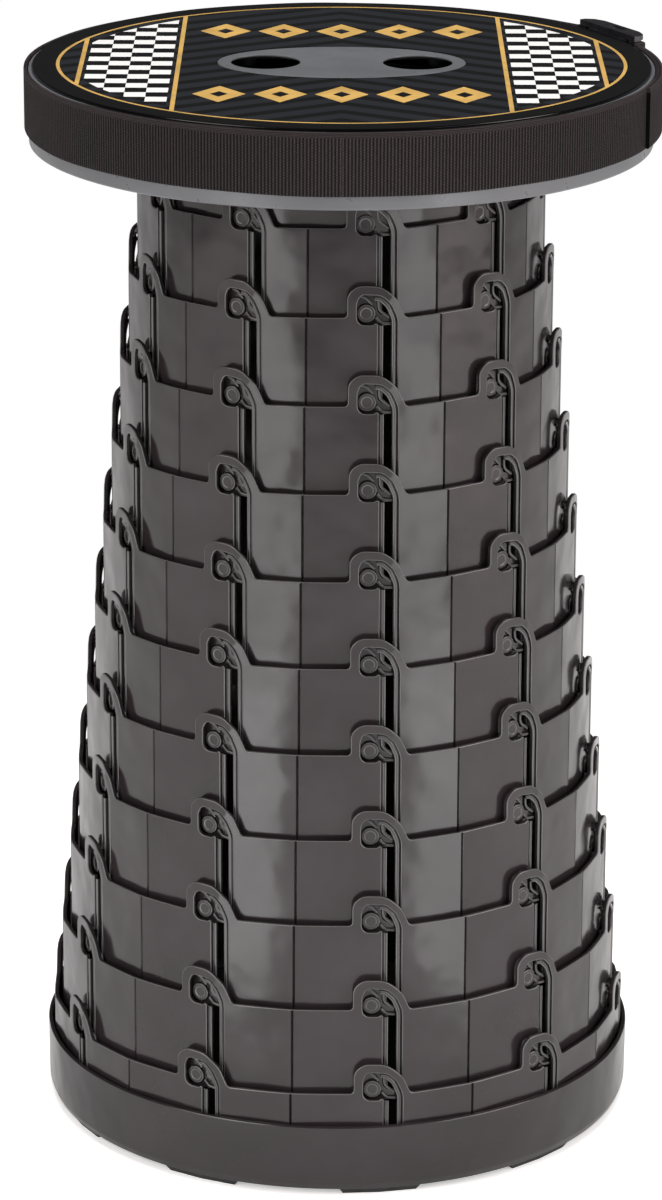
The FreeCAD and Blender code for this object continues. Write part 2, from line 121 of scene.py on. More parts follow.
class StoolRings(bpy.types.PropertyGroup):
    """Sizes of the hook rings, around and along the wall."""

    bays: IntProperty(name="Bays", description="Hooks around each ring", default=10, min=3)
    turn: turn("Turn", "First column of hooks from the front", 7)
    wall: mm("Wall", "Wall of a ring", 1.8)
    row_to_foot: mm("Row to foot", "Pin seats down to the lower edge", 41.4)
    slot_foot: mm("Slot foot", "Strip that closes a slot at the lower edge", 4.3)
    rim: mm("Rim", "Rim under the pin seats", 2.2)
    crown: mm("Crown", "Top of a hook over the pin seats", 10.6)
    flatness: FloatProperty(
        name="Flatness", description="0 for a round ring, 1 for flat panels", default=0.6
    )
    panel_end: mm("Panel end", "Middle of the slot beside the pin", 8.5)
    pitch: mm("Pitch", "Own pins under the pin seats", 35.0)
    pin: mm("Pin", "Radius of a pin", 3.6)
    pin_drop: mm("Pin drop", "Play of a pin under its seat's middle", 1.1)
    pin_reach: mm("Pin reach", "How far a pin stands out", 1.7)
    edge: mm("Edge", "Rounding of the moulded edges", 0.45)
    score: mm("Score", "Depth of the scored line of a bay", 0.9)
    score_half: mm("Score half", "Half the width of the scored line", 0.55)


class StoolSeat(bpy.types.PropertyGroup):
    """Sizes of the seat, the strap and the buckle."""

    grip_length: mm("Grip length", "Long side of the oval grip", 100)
    grip_width: mm("Grip width", "Short side of the oval grip", 61)
    finger: mm("Finger hole", "Radius of a finger hole", 14)
    finger_offset: mm("Finger offset", "Finger hole from the axis", 30.6)
    boss: mm("Boss", "Height of a screw boss", 8)
    rib_pitch: mm("Rib pitch", "Spacing of the webbing's ribs", 1.35)
    cloth: mm("Cloth", "Thickness of the webbing", 1.5)
    check: mm("Check", "Side of a printed check", 8.5)
    buckle_turn: turn("Buckle turn", "Buckle from the front", 119.5)
    buckle_half: mm("Buckle half", "Half the buckle's length", 21)
    tail_end: turn("Tail end", "Free end of the strap from the front", 70)


class StoolColours(bpy.types.PropertyGroup):
    """Colours of the finishes."""

    ring: tint("Rings", "Moulded rings", "#282325")
    pan: tint("Seat pan", "Grey moulding", "#5e6063")
    webbing: tint("Webbing", "Strap yarn", "#221e1f")
    gold: tint("Gold", "Gold ink of the print", "#d6ad61")


class StoolStage(bpy.types.PropertyGroup):
    """The camera's place."""

    across: metres("Across", "Camera beside the axis", -0.003388)
    distance: metres("Distance", "Camera in front of the axis", 1.91028)
    height: metres("Height", "Camera over the floor", 0.83824)
    tilt: turn("Tilt", "Camera down from level", 18.069)
    roll: turn("Roll", "Camera about its own axis", 0.237)
    focal: mm("Focal length", "Lens on 36 mm of height", 144.52)


# Outlines and meshes


def rounded(corners, closed=True, step=math.radians(15)):
    """An outline in mm whose corners (across, up, radius) are turned into arcs."""
    points = []
    for i, (across, up, radius) in enumerate(corners):
        here = Vector((across, up))
        if radius <= 0 or (not closed and i in (0, len(corners) - 1)):
            points.append(here)
            continue
        before = Vector(corners[i - 1][:2]) - here
        after = Vector(corners[(i + 1) % len(corners)][:2]) - here
        bend = math.pi - before.angle(after)
        reach = min(radius * math.tan(bend / 2), 0.49 * before.length, 0.49 * after.length)
        radius = reach / math.tan(bend / 2)
        middle = (before.normalized() + after.normalized()).normalized()
        centre = here + middle * radius / math.cos(bend / 2)
        start = here + before.normalized() * reach - centre
        end = here + after.normalized() * reach - centre
        first = math.atan2(start.y, start.x)
        sweep = math.remainder(math.atan2(end.y, end.x) - first, math.tau)
        steps = max(2, math.ceil(abs(sweep) / step))
        for k in range(steps + 1):
            angle = first + sweep * k / steps
            points.append(centre + radius * Vector((math.cos(angle), math.sin(angle))))
    return np.array([tuple(point) for point in points])


def divided(points, longest, closed=True):
    """The same outline with no side longer than a length."""
    ends = np.roll(points, -1, axis=0) if closed else points[1:]
    result = []
    for start, end in zip(points, ends):
        parts = max(1, math.ceil(np.linalg.norm(end - start) / longest))
        result += [start + (end - start) * k / parts for k in range(parts)]
    if not closed:
        result.append(points[-1])
    return np.array(result)


def circle(radius, across=0.0, count=48):
    """Points of a circle, anticlockwise."""
    angle = np.arange(count) * math.tau / count
    return np.column_stack([across + radius * np.cos(angle), radius * np.sin(angle)])


def oval(length, width):
    """Points of an ellipse about the origin, anticlockwise."""
    return circle(0.5, count=120) * [length, width]


def outward(points, closed=True):
    """Directions away from the material, left of the outline, and how far a corner moves."""
    if closed:
        steps = np.roll(points, -1, axis=0) - points
    else:
        steps = np.vstack([np.diff(points, axis=0), points[-1:] - points[-2:-1]])
    sides = np.column_stack([steps[:, 1], -steps[:, 0]])
    sides /= np.linalg.norm(sides, axis=1)[:, None]
    before = np.roll(sides, 1, axis=0)
    if not closed:
        before[0] = sides[0]
    directions = sides + before
    directions /= np.linalg.norm(directions, axis=1)[:, None]
    stretch = 1 / np.maximum((directions * sides).sum(axis=1), 0.5)
    return directions, stretch


def inside(points, outline):
    """Which points lie inside a closed outline."""
    result = np.zeros(len(points), bool)
    across, up = points[:, 0], points[:, 1]
    for (x1, y1), (x2, y2) in zip(outline, np.roll(outline, -1, axis=0)):
        if y1 != y2:
            level = (y1 > up) != (y2 > up)
            result ^= level & (across < (x2 - x1) * (up - y1) / (y2 - y1) + x1)
    return result


def filled(points, loops, outer, holes):
    """Triangles over points, bound by the loops' sides, kept where the sheet has material."""
    sides = [(loop[i], loop[(i + 1) % len(loop)]) for loop in loops for i in range(len(loop))]
    made = delaunay_2d_cdt([Vector(point) for point in points], sides, [], 0, 1e-6)
    index = [sources[0] if sources else -1 for sources in made[3]]
    triangles = np.array([[index[corner] for corner in face] for face in made[2]])
    triangles = triangles[(triangles >= 0).all(axis=1)]
    middles = points[triangles].mean(axis=1)
    keep = inside(middles, outer)
    for hole in holes:
        keep &= ~inside(middles, hole)
    triangles = triangles[keep]
    a, b, c = (points[triangles[:, k]] for k in range(3))
    area = (b[:, 0] - a[:, 0]) * (c[:, 1] - a[:, 1]) - (b[:, 1] - a[:, 1]) * (c[:, 0] - a[:, 0])
    triangles[area < 0] = triangles[area < 0][:, ::-1]
    return triangles[np.abs(area) > 1e-9]


def edge_rows(thick, bevel, parts=3):
    """Rows of an edge, front to back: offset outward, depth, side and face of the normal."""
    rows = []
    for k in range(parts + 1):
        angle = math.pi / 2 * k / parts
        side, face = math.sin(angle), math.cos(angle)
        rows.append((bevel * (side - 1), bevel * (1 - face), side, face))
    for k in range(parts + 1):
        angle = math.pi / 2 * k / parts
        side, face = math.cos(angle), -math.sin(angle)
        rows.append((bevel * (side - 1), thick - bevel * (1 + face), side, face))
    return rows


class Sheet:
    """A moulded wall drawn flat: points (across, up, depth), normals (across, up, face), faces."""

    def __init__(self):
        self.points, self.normals, self.pale, self.faces, self.flat = [], [], [], [], set()

    def add(self, points, normals, rubbed=True):
        """Adds points, with a share of painted highlight where a rounded edge faces outward, and
        gives back their numbers.
        """
        first = len(self.points)
        self.points += [tuple(point) for point in points]
        self.normals += [tuple(normal) for normal in normals]
        # A point's share of painted highlight is greatest halfway round a rounded edge
        for across, up, face in normals:
            side = math.hypot(across, up)
            pale = max(0.0, 2 * side * face / (side**2 + face**2))
            self.pale.append(pale if rubbed else 0.0)
        return list(range(first, len(self.points)))

    def edge(self, outline, rows, closed=True, deepest=None):
        """The rounded edge along an outline; gives back the rows of point numbers."""
        directions, stretch = outward(outline, closed)
        count = len(outline)
        floor = np.zeros(count) if deepest is None else deepest
        numbers = []
        for offset, depth, side, face in rows:
            places = outline + directions * (stretch * offset)[:, None]
            normals = np.column_stack([directions * side, np.full(count, face)])
            numbers.append(self.add(np.column_stack([places, np.maximum(depth, floor)]), normals))
        self.join(numbers, closed)
        return numbers

    def join(self, rows, closed=True):
        """Faces between neighbouring rows of points."""
        count = len(rows[0])
        for upper, lower in zip(rows, rows[1:]):
            for i in range(count if closed else count - 1):
                j = (i + 1) % count
                self.faces.append((upper[j], upper[i], lower[i], lower[j]))

    def cover(self, triangles, front, back):
        """The front and back faces over the same triangles, from each side's point numbers."""
        for a, b, c in triangles:
            self.faces.append((front[a], front[b], front[c]))
            self.faces.append((back[c], back[b], back[a]))


def grid_inside(outer, holes, across_step, up_step, margin):
    """Points on a grid that lie on the material and clear of every edge."""
    spans = []
    for low, high, step in zip(outer.min(axis=0), outer.max(axis=0), (across_step, up_step)):
        spans.append(np.linspace(low, high, max(2, round((high - low) / step) + 1))[1:-1])
    points = np.array([(x, y) for x in spans[0] for y in spans[1]])
    keep = inside(points, outer)
    for hole in holes:
        keep &= ~inside(points, hole)
    edges = np.vstack([divided(outline, margin) for outline in [outer, *holes]])
    near = ((points[:, None] - edges[None]) ** 2).sum(axis=2).min(axis=1)
    return points[keep & (near > margin**2)]


def plate(outer, holes, thick, bevel, grid=12.0):
    """A flat plate with rounded edges, its front face at depth 0."""
    sheet = Sheet()
    rows = edge_rows(thick, bevel)
    edges = [sheet.edge(loop, rows) for loop in [outer, *[hole[::-1] for hole in holes]]]
    fill = grid_inside(outer, holes, grid, grid, grid / 3)
    front = [number for edge in edges for number in edge[0]]
    back = [number for edge in edges for number in edge[-1]]
    rims = [np.array([sheet.points[number][:2] for number in edge[0]]) for edge in edges]
    front += sheet.add([(x, y, 0) for x, y in fill], [(0, 0, 1)] * len(fill))
    back += sheet.add([(x, y, thick) for x, y in fill], [(0, 0, -1)] * len(fill))
    starts = np.cumsum([0, *[len(rim) for rim in rims]])
    order = [list(range(start, start + len(rim))) for start, rim in zip(starts, rims)]
    points = np.vstack([*rims, fill]) if len(fill) else np.vstack(rims)
    sheet.cover(filled(points, order, rims[0], rims[1:]), front, back)
    return sheet


def mesh_object(name, points, faces, material, normals=None, corner_normals=()):
    """An object from points in metres, with smooth shading and its own normals where given."""
    mesh = bpy.data.meshes.new(name)
    mesh.from_pydata(points, [], faces)
    mesh.materials.append(material)
    mesh.shade_smooth()
    if normals is None:
        mesh.set_sharp_from_angle(angle=math.radians(35))
    else:
        corners = np.empty(len(mesh.loops), np.int32)
        mesh.loops.foreach_get("vertex_index", corners)
        values = np.asarray(normals)[corners]
        for start, stop, normal in corner_normals:
            values[start:stop] = normal
        mesh.normals_split_custom_set(values.tolist())
    item = bpy.data.objects.new(name, mesh)
    bpy.context.scene.collection.objects.link(item)
    return item


def flat_object(name, sheet, top, material):
    """A plate laid level, its front face up at a height in mm."""
    points = [(x * MM, y * MM, (top - depth) * MM) for x, y, depth in sheet.points]
    normals = np.array(sheet.normals)
    normals /= np.linalg.norm(normals, axis=1)[:, None]
    return mesh_object(name, points, sheet.faces, material, normals)


def turned_object(name, profile, material, count=240):
    """A body of revolution from a profile (radius, height, corner radius) in mm, anticlockwise."""
    outline = rounded(profile)
    angle = np.arange(count) * math.tau / count
    points, faces = [], []
    for radius, height in outline * MM:
        points += [(radius * math.cos(a), radius * math.sin(a), height) for a in angle]
    for i in range(len(outline)):
        near, far = i * count, (i + 1) % len(outline) * count
        for k in range(count):
            m = (k + 1) % count
            faces.append((near + k, near + m, far + m, far + k))
    return mesh_object(name, points, faces, material)


def set_painted_highlight(item, values):
    """Gives the points of a piece their share of the highlight painted on rounded edges."""
    attribute = item.data.attributes.new("painted_edge_highlight", "FLOAT", "POINT")
    attribute.data.foreach_set("value", np.asarray(values, np.float32))
    return item


def settle(item, body, slot, *nodes):
    """Attaches a piece to its body and hides the nodes it stands for. The record slot is not used.
    """
    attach(item, body)
    if nodes:
        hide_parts(*nodes)


def dress(node, material, bevel=0.0, segments=3):
    """Gives a node its finish, and rounded edges in mm where asked; gives the node back."""
    item = frame["nodes"][node]
    item.data.materials.clear()
    item.data.materials.append(material)
    if bevel:
        rounding = item.modifiers.new("rounded_edges", "BEVEL")
        rounding.width, rounding.segments = bevel * MM, segments
    return item


# Hook rings: outlines are (across, up, corner radius) in mm from the middle of a pin seat


def rim_outline(sizes, left, right):
    """The upper edge of a bay from right to left: rim, hook, rim."""
    return [
        (right, -sizes.rim, 0),
        (15.4, -sizes.rim - 0.6, 2.2),
        (11.9, 4.9, 9),
        (5.5, sizes.crown - 0.3, 9),
        (-4.4, sizes.crown, 6),
        (-8.15, 6.9, 5),
        (-8.15, -sizes.rim, 1.6),
        (left, -sizes.rim, 0),
    ]


def window_outline(sizes):
    """The opening in a hook, anticlockwise: slot, arch and the pin's seat."""
    foot = sizes.slot_foot - sizes.row_to_foot
    return [
        (4.1, foot, 3.0),
        (12.0, foot, 1.2),
        (12.0, -3.0, 9),
        (9.3, 3.0, 7),
        (5.6, 6.5, 5),
        (-2.8, 7.0, 3),
        (-4.3, 3.5, 3),
        (-4.3, -5.3, 3.9),
        (2.2, -5.3, 3.2),
        (3.2, -4.5, 0.5),
        (4.1, -4.9, 0.6),
    ]


def add_strip(sheet, corners, section):
    """A strip along a path; its section is (offset to the path's right, depth), anticlockwise."""
    line = divided(rounded(corners, closed=False), 1.0, closed=False)
    sides, _ = outward(line, closed=False)
    facing, _ = outward(section)
    rows = []
    for place, side in zip(line, sides):
        points = [(*(place + side * offset), depth) for offset, depth in section]
        rows.append(sheet.add(points, [(*(side * across), -inward) for across, inward in facing]))
    for near, far in zip(rows, rows[1:]):
        for k in range(len(section)):
            m = (k + 1) % len(section)
            sheet.faces.append((near[k], near[m], far[m], far[k]))
    sheet.faces += [tuple(rows[0][::-1]), tuple(rows[-1])]


def add_lips(sheet, sizes):
    """The sunken lips along the arch and the slot's sides, joined to the wall behind a gap."""
    foot, back = sizes.slot_foot - sizes.row_to_foot, sizes.wall + 0.6
    arch = window_outline(sizes)[4:1:-1]
    far_side = [(3.0, 6.65, 0), *arch, (12.0, foot - 0.2, 0)]
    near_side = [(4.1, foot + 1.5, 0), (4.1, -5.6, 0)]
    section = [
        (-0.4, 1.25, 0),
        (0.75, 1.25, 0.1),
        (0.75, 0.4, 0.4),
        (2.2, 0.4, 0.6),
        (2.2, back, 0.3),
        (0.75, back, 0.3),
        (0.75, sizes.wall - 0.05, 0),
        (-0.4, sizes.wall - 0.05, 0),
    ]
    for side in (far_side, near_side):
        add_strip(sheet, side, rounded(section))


def bay_sheet(sizes, radius):
    """One bay of a ring drawn flat, and the numbers of the points on its left and right seams."""
    left, right = -radius * SEAM, radius * (math.tau / sizes.bays - SEAM)
    groove, foot, rim = sizes.score_half, -sizes.row_to_foot, -sizes.rim
    rows = edge_rows(sizes.wall, sizes.edge)
    curve, window_step, up_step, margin = math.radians(3.2) * radius, 6.0, 7.0, 1.6
    sheet = Sheet()

    def seamed_edge(start, line, end):
        """An edge from seam to seam, sunken at its ends to the depth of the scored line."""
        line = np.vstack([[start], divided(line, curve, closed=False), [end]])
        deepest = np.zeros(len(line))
        deepest[[0, -1]] = sizes.score
        return sheet.edge(line, rows, closed=False, deepest=deepest)

    def columns(across, depth):
        """Points up a seam's side, in front and behind."""
        heights = np.linspace(foot + sizes.edge, rim - sizes.edge, 7)[1:-1]
        return [
            sheet.add([(across, height, at) for height in heights], [(0, 0, face)] * len(heights))
            for at, face in ((depth, 1), (sizes.wall, -1))
        ]

    upper = rounded(rim_outline(sizes, left + groove, right - groove), closed=False)
    top = seamed_edge((right, rim), upper, (left, rim))
    lower = np.array([(left + groove, foot), (right - groove, foot)])
    bottom = seamed_edge((left, foot), lower, (right, foot))
    hole = sheet.edge(divided(rounded(window_outline(sizes)), window_step)[::-1], rows)
    sides = {"left": columns(left + groove, 0), "right": columns(right - groove, 0)}
    seams = {"left": columns(left, sizes.score), "right": columns(right, sizes.score)}

    loops = []
    for row, face in ((0, 0), (-1, 1)):
        up, down = sides["right"][face], sides["left"][face][::-1]
        loops.append(bottom[row][1:-1] + up + top[row][1:-1] + down)
    flat = np.array([sheet.points[number][:2] for number in loops[0]])
    window = np.array([sheet.points[number][:2] for number in hole[0]])
    fill = grid_inside(flat, [window], curve, up_step, margin)
    front = loops[0] + hole[0] + sheet.add([(x, y, 0) for x, y in fill], [(0, 0, 1)] * len(fill))
    behind = sheet.add([(x, y, sizes.wall) for x, y in fill], [(0, 0, -1)] * len(fill))
    order = [list(range(len(flat))), list(range(len(flat), len(flat) + len(window)))]
    triangles = filled(np.vstack([flat, window, fill]), order, flat, [window])
    sheet.cover(triangles, front, loops[1] + hole[-1] + behind)

    # The slopes of the scored line, flat shaded in front, and the wall behind them
    for name, end, inner in (("left", 0, 1), ("right", -1, -2)):
        for face, row in ((0, 0), (1, -1)):
            near = [bottom[row][inner], *sides[name][face], top[row][-1 - inner]]
            far = [bottom[row][end], *seams[name][face], top[row][-1 - end]]
            if face == 0:
                sheet.flat.update(range(len(sheet.faces), len(sheet.faces) + len(near) - 1))
            flip = (name == "left") != (face == 1)
            for a, b, c, d in zip(near, near[1:], far[1:], far):
                sheet.faces.append((a, b, c, d) if flip else (d, c, b, a))
    ends = []
    for name, end in (("left", 0), ("right", -1)):
        column = [row[end] for row in bottom] + seams[name][0] + seams[name][1]
        ends.append(column + [row[-1 - end] for row in top])
    return sheet, *ends


def add_pin(sheet, sizes, count=28):
    """A round pin at the foot of the bay, and the thin ridges that guide a hook over it."""
    middle, height = -0.3, -sizes.pitch - sizes.pin_drop
    pin, reach, bevel = sizes.pin, sizes.pin_reach, 0.45
    # Rows are (radius, depth, share of side and face normal): foot, rounded rim, dished face
    rows = [(pin + 0.35, 0.05, 0.3, 1), (pin + 0.05, -0.3, 0.9, 0.4), (pin, -0.5, 1, 0)]
    for k in range(4):
        angle = math.pi / 2 * k / 3
        side, face = math.cos(angle), math.sin(angle)
        rows.append((pin - bevel * (1 - side), -reach + bevel * (1 - face), side, face))
    rows += [
        (pin * 0.72, -reach, 0, 1),
        (pin * 0.62, -reach + 0.22, -0.4, 1),
        (pin * 0.5, -reach + 0.25, 0, 1),
    ]
    around = [(math.sin(a), math.cos(a)) for a in np.arange(count) * math.tau / count]
    numbers = []
    for out, depth, side, face in rows:
        places = [(middle + out * x, height + out * y, depth) for x, y in around]
        normals = [(side * x, side * y, face) for x, y in around]
        # The pin's outer rim takes the painted edge highlight
        numbers.append(sheet.add(places, normals, rubbed=depth < -0.6))
    sheet.join(numbers)
    sheet.faces.append(tuple(numbers[-1][::-1]))
    section = rounded([(-0.55, -1.1, 0.5), (0.55, -1.1, 0.5), (0.55, 0.3, 0), (-0.55, 0.3, 0)])
    ridges = (
        [(-2.7, 5.9, 0), (-0.2, 5.0, 3), (2.2, 2.4, 0)],
        [(4.7, 6.4, 0), (4.7, 0.2, 3.4), (8.8, -2.9, 0)],
        [(3.6, -2.8, 0), (5.5, -5.1, 2), (9.2, -5.5, 0)],
    )
    for ridge in ridges:
        add_strip(sheet, [(x, y - sizes.pitch, radius) for x, y, radius in ridge], section)


def panel_lean(across, radius, sizes):
    """Each point's angle from the middle of its flattened panel, and half that panel's angle.

    One panel of a bay ends in the middle of the slot, the other at the next scored line."""
    seam, split, past = -radius * SEAM, sizes.panel_end, 1.0
    low = np.where(across < split, seam - past, split)
    high = np.where(across < split, split, radius * math.tau / sizes.bays + seam + past)
    return (across - (low + high) / 2) / radius, (high - low) / 2 / radius


def wrapped(sheet, sizes, radius, angle):
    """A flat sheet's points laid around a ring at an angle, in metres, and their normals."""
    across, up, depth = np.array(sheet.points, float).T
    lean, half = panel_lean(across, radius, sizes)
    flat = sizes.flatness
    place = across / radius + angle
    out = radius * (1 - flat + flat * np.cos(half) / np.cos(lean)) - depth
    points = np.column_stack([out * np.sin(place), -out * np.cos(place), up]) * MM
    along, upward, face = np.array(sheet.normals, float).T
    facing = place - flat * lean
    normals = np.column_stack(
        [
            along * np.cos(facing) + face * np.sin(facing),
            along * np.sin(facing) - face * np.cos(facing),
            upward,
        ]
    )
    return points, normals / np.linalg.norm(normals, axis=1)[:, None]


def ring_object(node, sizes, material):
    """A whole ring: its bay laid out all round, seams shared, pins at the foot."""
    radius = radius_of(node)
    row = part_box(node)[0].z / MM + sizes.row_to_foot
    sheet, left_seam, right_seam = bay_sheet(sizes, radius)
    add_pin(sheet, sizes)
    add_lips(sheet, sizes)
    count = len(sheet.points)
    own = np.setdiff1d(np.arange(count), left_seam)
    local = np.full(count, -1)
    local[own] = np.arange(len(own))
    points, normals, faces, flats = [], [], [], set()
    for bay in range(sizes.bays):
        angle = sizes.turn + bay * math.tau / sizes.bays
        places, facing = wrapped(sheet, sizes, radius, angle)
        points.append(places[own])
        normals.append(facing[own])
        number = local + bay * len(own)
        number[left_seam] = local[right_seam] + (bay - 1) % sizes.bays * len(own)
        flats.update(len(faces) + index for index in sheet.flat)
        faces += [tuple(number[corner] for corner in face) for face in sheet.faces]
    points, normals = np.vstack(points) + [0, 0, row * MM], np.vstack(normals)
    corner, corner_normals = 0, []
    for index, face in enumerate(faces):
        if index in flats:
            a, b, c = (points[face[k]] for k in (0, 1, 2))
            normal = np.cross(b - a, c - a)
            corner_normals.append((corner, corner + len(face), normal / np.linalg.norm(normal)))
        corner += len(face)
    shell = mesh_object(f"{node}_shell", points, faces, material, normals, corner_normals)
    return set_painted_highlight(shell, np.tile(np.array(sheet.pale)[own], sizes.bays))


# Materials


def feed(node, inputs):
    """Gives a node's inputs, by name or in order, their values or the sockets that feed them."""
    for name, value in inputs.items() if isinstance(inputs, dict) else enumerate(inputs):
        if isinstance(value, bpy.types.NodeSocket):
            node.id_data.links.new(value, node.inputs[name])
        else:
            node.inputs[name].default_value = value


def add(tree, kind, inputs=(), output=0, **settings):
    """Adds a node with its settings and inputs, and gives back one of its outputs."""
    node = tree.nodes.new("ShaderNode" + kind)
    for name, value in settings.items():
        setattr(node, name, value)
    feed(node, inputs)
    return node.outputs[output]


def new_finish(name, ior, roughness, colour, *clouds):
    """A material, its tree, shader and surface place in mm, and a noise per (size, detail)."""
    material = bpy.data.materials.new(name)
    material.use_nodes = True
    material.diffuse_color = colour
    tree = material.node_tree
    shader = tree.nodes["Principled BSDF"]
    feed(shader, {"IOR": ior, "Roughness": roughness, "Base Color": colour})
    place = add(tree, "TexCoord", output="Object")
    place = add(tree, "VectorMath", (place, (1 / MM,) * 3), operation="MULTIPLY")
    common = {"Vector": place, "Roughness": 0.55}
    noises = [
        add(tree, "TexNoise", {"Scale": 1 / size, "Detail": detail, **common})
        for size, detail in clouds
    ]
    return material, tree, shader, place, *noises


def moulded(name, ior, roughness, tones, cloud, bumps, smudge=(), rubbed=None):
    """A moulded finish: tones (plain, dark, light) drift in a cloud (size, detail), over bumps
    (size, detail, depth in mm); its gloss drifts in a smudge (size, detail, low, high)."""
    patterns = [cloud, *[bump[:2] for bump in bumps], *([smudge[:2]] if smudge else [])]
    finish = new_finish(name, ior, roughness, tones[0], *patterns)
    material, tree, shader, _, drift, *noises = finish
    share = add(tree, "MapRange", (drift, *NOISE_SPAN, 0.0, 1.0))
    tone = add(tree, "Mix", {0: share, 6: tones[1], 7: tones[2]}, 2, data_type="RGBA")
    # Where a highlight colour is given, rounded edges are painted with it by each point's share
    if rubbed:
        pale = add(tree, "Attribute", output="Fac", attribute_name="painted_edge_highlight")
        tone = add(tree, "Mix", {0: pale, 6: tone, 7: rubbed}, 2, data_type="RGBA")
    inputs = {}
    for height, (_, _, depth) in zip(noises, bumps):
        inputs |= {"Height": height, "Distance": depth * MM, "Strength": 1.0}
        inputs = {"Normal": add(tree, "Bump", inputs)}
    feed(shader, {"Base Color": tone, **inputs})
    if smudge:
        feed(shader, {"Roughness": add(tree, "MapRange", (noises[-1], *NOISE_SPAN, *smudge[2:]))})
    return material


def moulded_polypropylene(name, colour):
    """Injection-moulded polypropylene: dark grey satin, faint flow waves, a highlight painted pale
    on rounded edges.
    """
    tones = colour, shade(colour, 0.773), shade(colour, 1.222)
    # The highlight painted on rounded edges is a neutral pale grey
    grey = [sum(colour[:3]) / 3] * 3
    rubbed = shade(grey, 5.87)
    bumps = (30.0, 1.5, 1.8), (0.5, 2.0, 0.003)
    return moulded(name, 1.49, 0.16, tones, (34.0, 3.0), bumps, (9.0, 5.0, 0.12, 0.2), rubbed)


def moulded_abs(name, colour):
    """Injection-moulded ABS, mid grey: smooth and slightly glossy, with a faint moulding cloud."""
    tones = colour, shade(colour, 0.86), shade(colour, 1.108)
    smudge = 6.0, 4.0, 0.26, 0.38
    return moulded(name, 1.53, 0.3, tones, (40.0, 3.0), [(0.4, 2.0, 0.006)], smudge)


def thermoplastic_rubber(name):
    """Moulded thermoplastic rubber: matt, dark, with a fine skin that catches dust."""
    tones = linear("#232224"), linear("#1d1c1e"), linear("#2f2e30")
    return moulded(name, 1.5, 0.7, tones, (5.0, 6.0), [(0.35, 3.0, 0.03)])


def moulded_acetal(name):
    """Moulded acetal, black: slippery and glossy, with soft waves."""
    tones = linear("#1f1e21"), linear("#1a191c"), linear("#262528")
    smudge = 3.0, 4.0, 0.16, 0.28
    return moulded(name, 1.48, 0.2, tones, (12.0, 3.0), [(8.0, 1.0, 0.06)], smudge)


def zinc_plated_steel(name):
    """Zinc-plated steel: bright grey metal with a fine brushed grain, at the default IOR."""
    material, tree, shader, _, grain = new_finish(name, 1.5, 0.35, linear("#b9babd"), (0.6, 4.0))
    brushed = add(tree, "MapRange", (grain, *NOISE_SPAN, 0.28, 0.45))
    feed(shader, {"Metallic": 1.0, "Roughness": brushed})
    return material


def woven_webbing(name, colour, radius, pitch, top):
    """Polyester webbing: upright ribs of stitches under a selvedge; dull yarn, gaps painted black
    as shade.
    """
    material, tree, shader, place, yarn = new_finish(name, 1.5, 0.8, colour, (0.4, 4.0))
    stitch_long, selvedge_wide, line_pitch = 1.1, 2.2, 0.6
    x, y, z = add(tree, "SeparateXYZ", (place,)).node.outputs
    angle = add(tree, "Math", (x, y), operation="ARCTAN2")
    # Each rib is a ridge, narrow at its top, with wide gaps that are painted black as shade
    twice = add(tree, "Math", (angle, 2 * radius / pitch), operation="MULTIPLY")
    rib = add(tree, "Math", (twice, 1.0), operation="PINGPONG")
    rib = add(tree, "Math", (rib, 1.8), operation="POWER")
    # The stitches of one rib lie half a stitch over those of the next
    count = add(tree, "Math", (angle, radius / pitch), operation="MULTIPLY")
    count = add(tree, "Math", (count,), operation="FLOOR")
    up = add(tree, "Math", (z, math.pi / stitch_long), operation="MULTIPLY")
    up = add(tree, "Math", (count, math.pi / 2, up), operation="MULTIPLY_ADD")
    wave = add(tree, "Math", (up,), operation="SINE")
    wave = add(tree, "Math", (wave,), operation="ABSOLUTE")
    wave = add(tree, "Math", (wave, 0.55, 0.45), operation="MULTIPLY_ADD")
    woven = add(tree, "Math", (rib, wave), operation="MULTIPLY")
    # The selvedge has lines of yarn along the strap
    lines = add(tree, "Math", (z, math.pi / line_pitch), operation="MULTIPLY")
    lines = add(tree, "Math", (lines,), operation="SINE")
    lines = add(tree, "Math", (lines,), operation="ABSOLUTE")
    selvedge = add(tree, "Math", (lines, 0.25, 0.12), operation="MULTIPLY_ADD")
    share = add(tree, "Math", (z, top - selvedge_wide), operation="GREATER_THAN")
    height = add(tree, "Mix", {0: share, 2: woven, 3: selvedge})
    uneven = add(tree, "MapRange", (yarn, *NOISE_SPAN, 0.7, 1.15))
    depth = add(tree, "Math", (height, uneven), operation="MULTIPLY")
    # The colour follows the height: painted shade, near black, in the gaps and the selvedge's
    # furrows, and painted light on the rib tops
    painted_gap_shade, high = shade(colour, 0.033), shade(colour, 6.48)
    tone = add(tree, "Mix", {0: depth, 6: painted_gap_shade, 7: high}, 2, data_type="RGBA")
    ribbed = add(tree, "Bump", {"Height": height, "Distance": 1.0 * MM, "Strength": 1.0})
    fine = {"Height": yarn, "Distance": 0.05 * MM, "Strength": 1.0, "Normal": ribbed}
    inputs = {"Base Color": tone, "Normal": add(tree, "Bump", fine), "Specular IOR Level": 0.15}
    feed(shader, inputs)
    return material


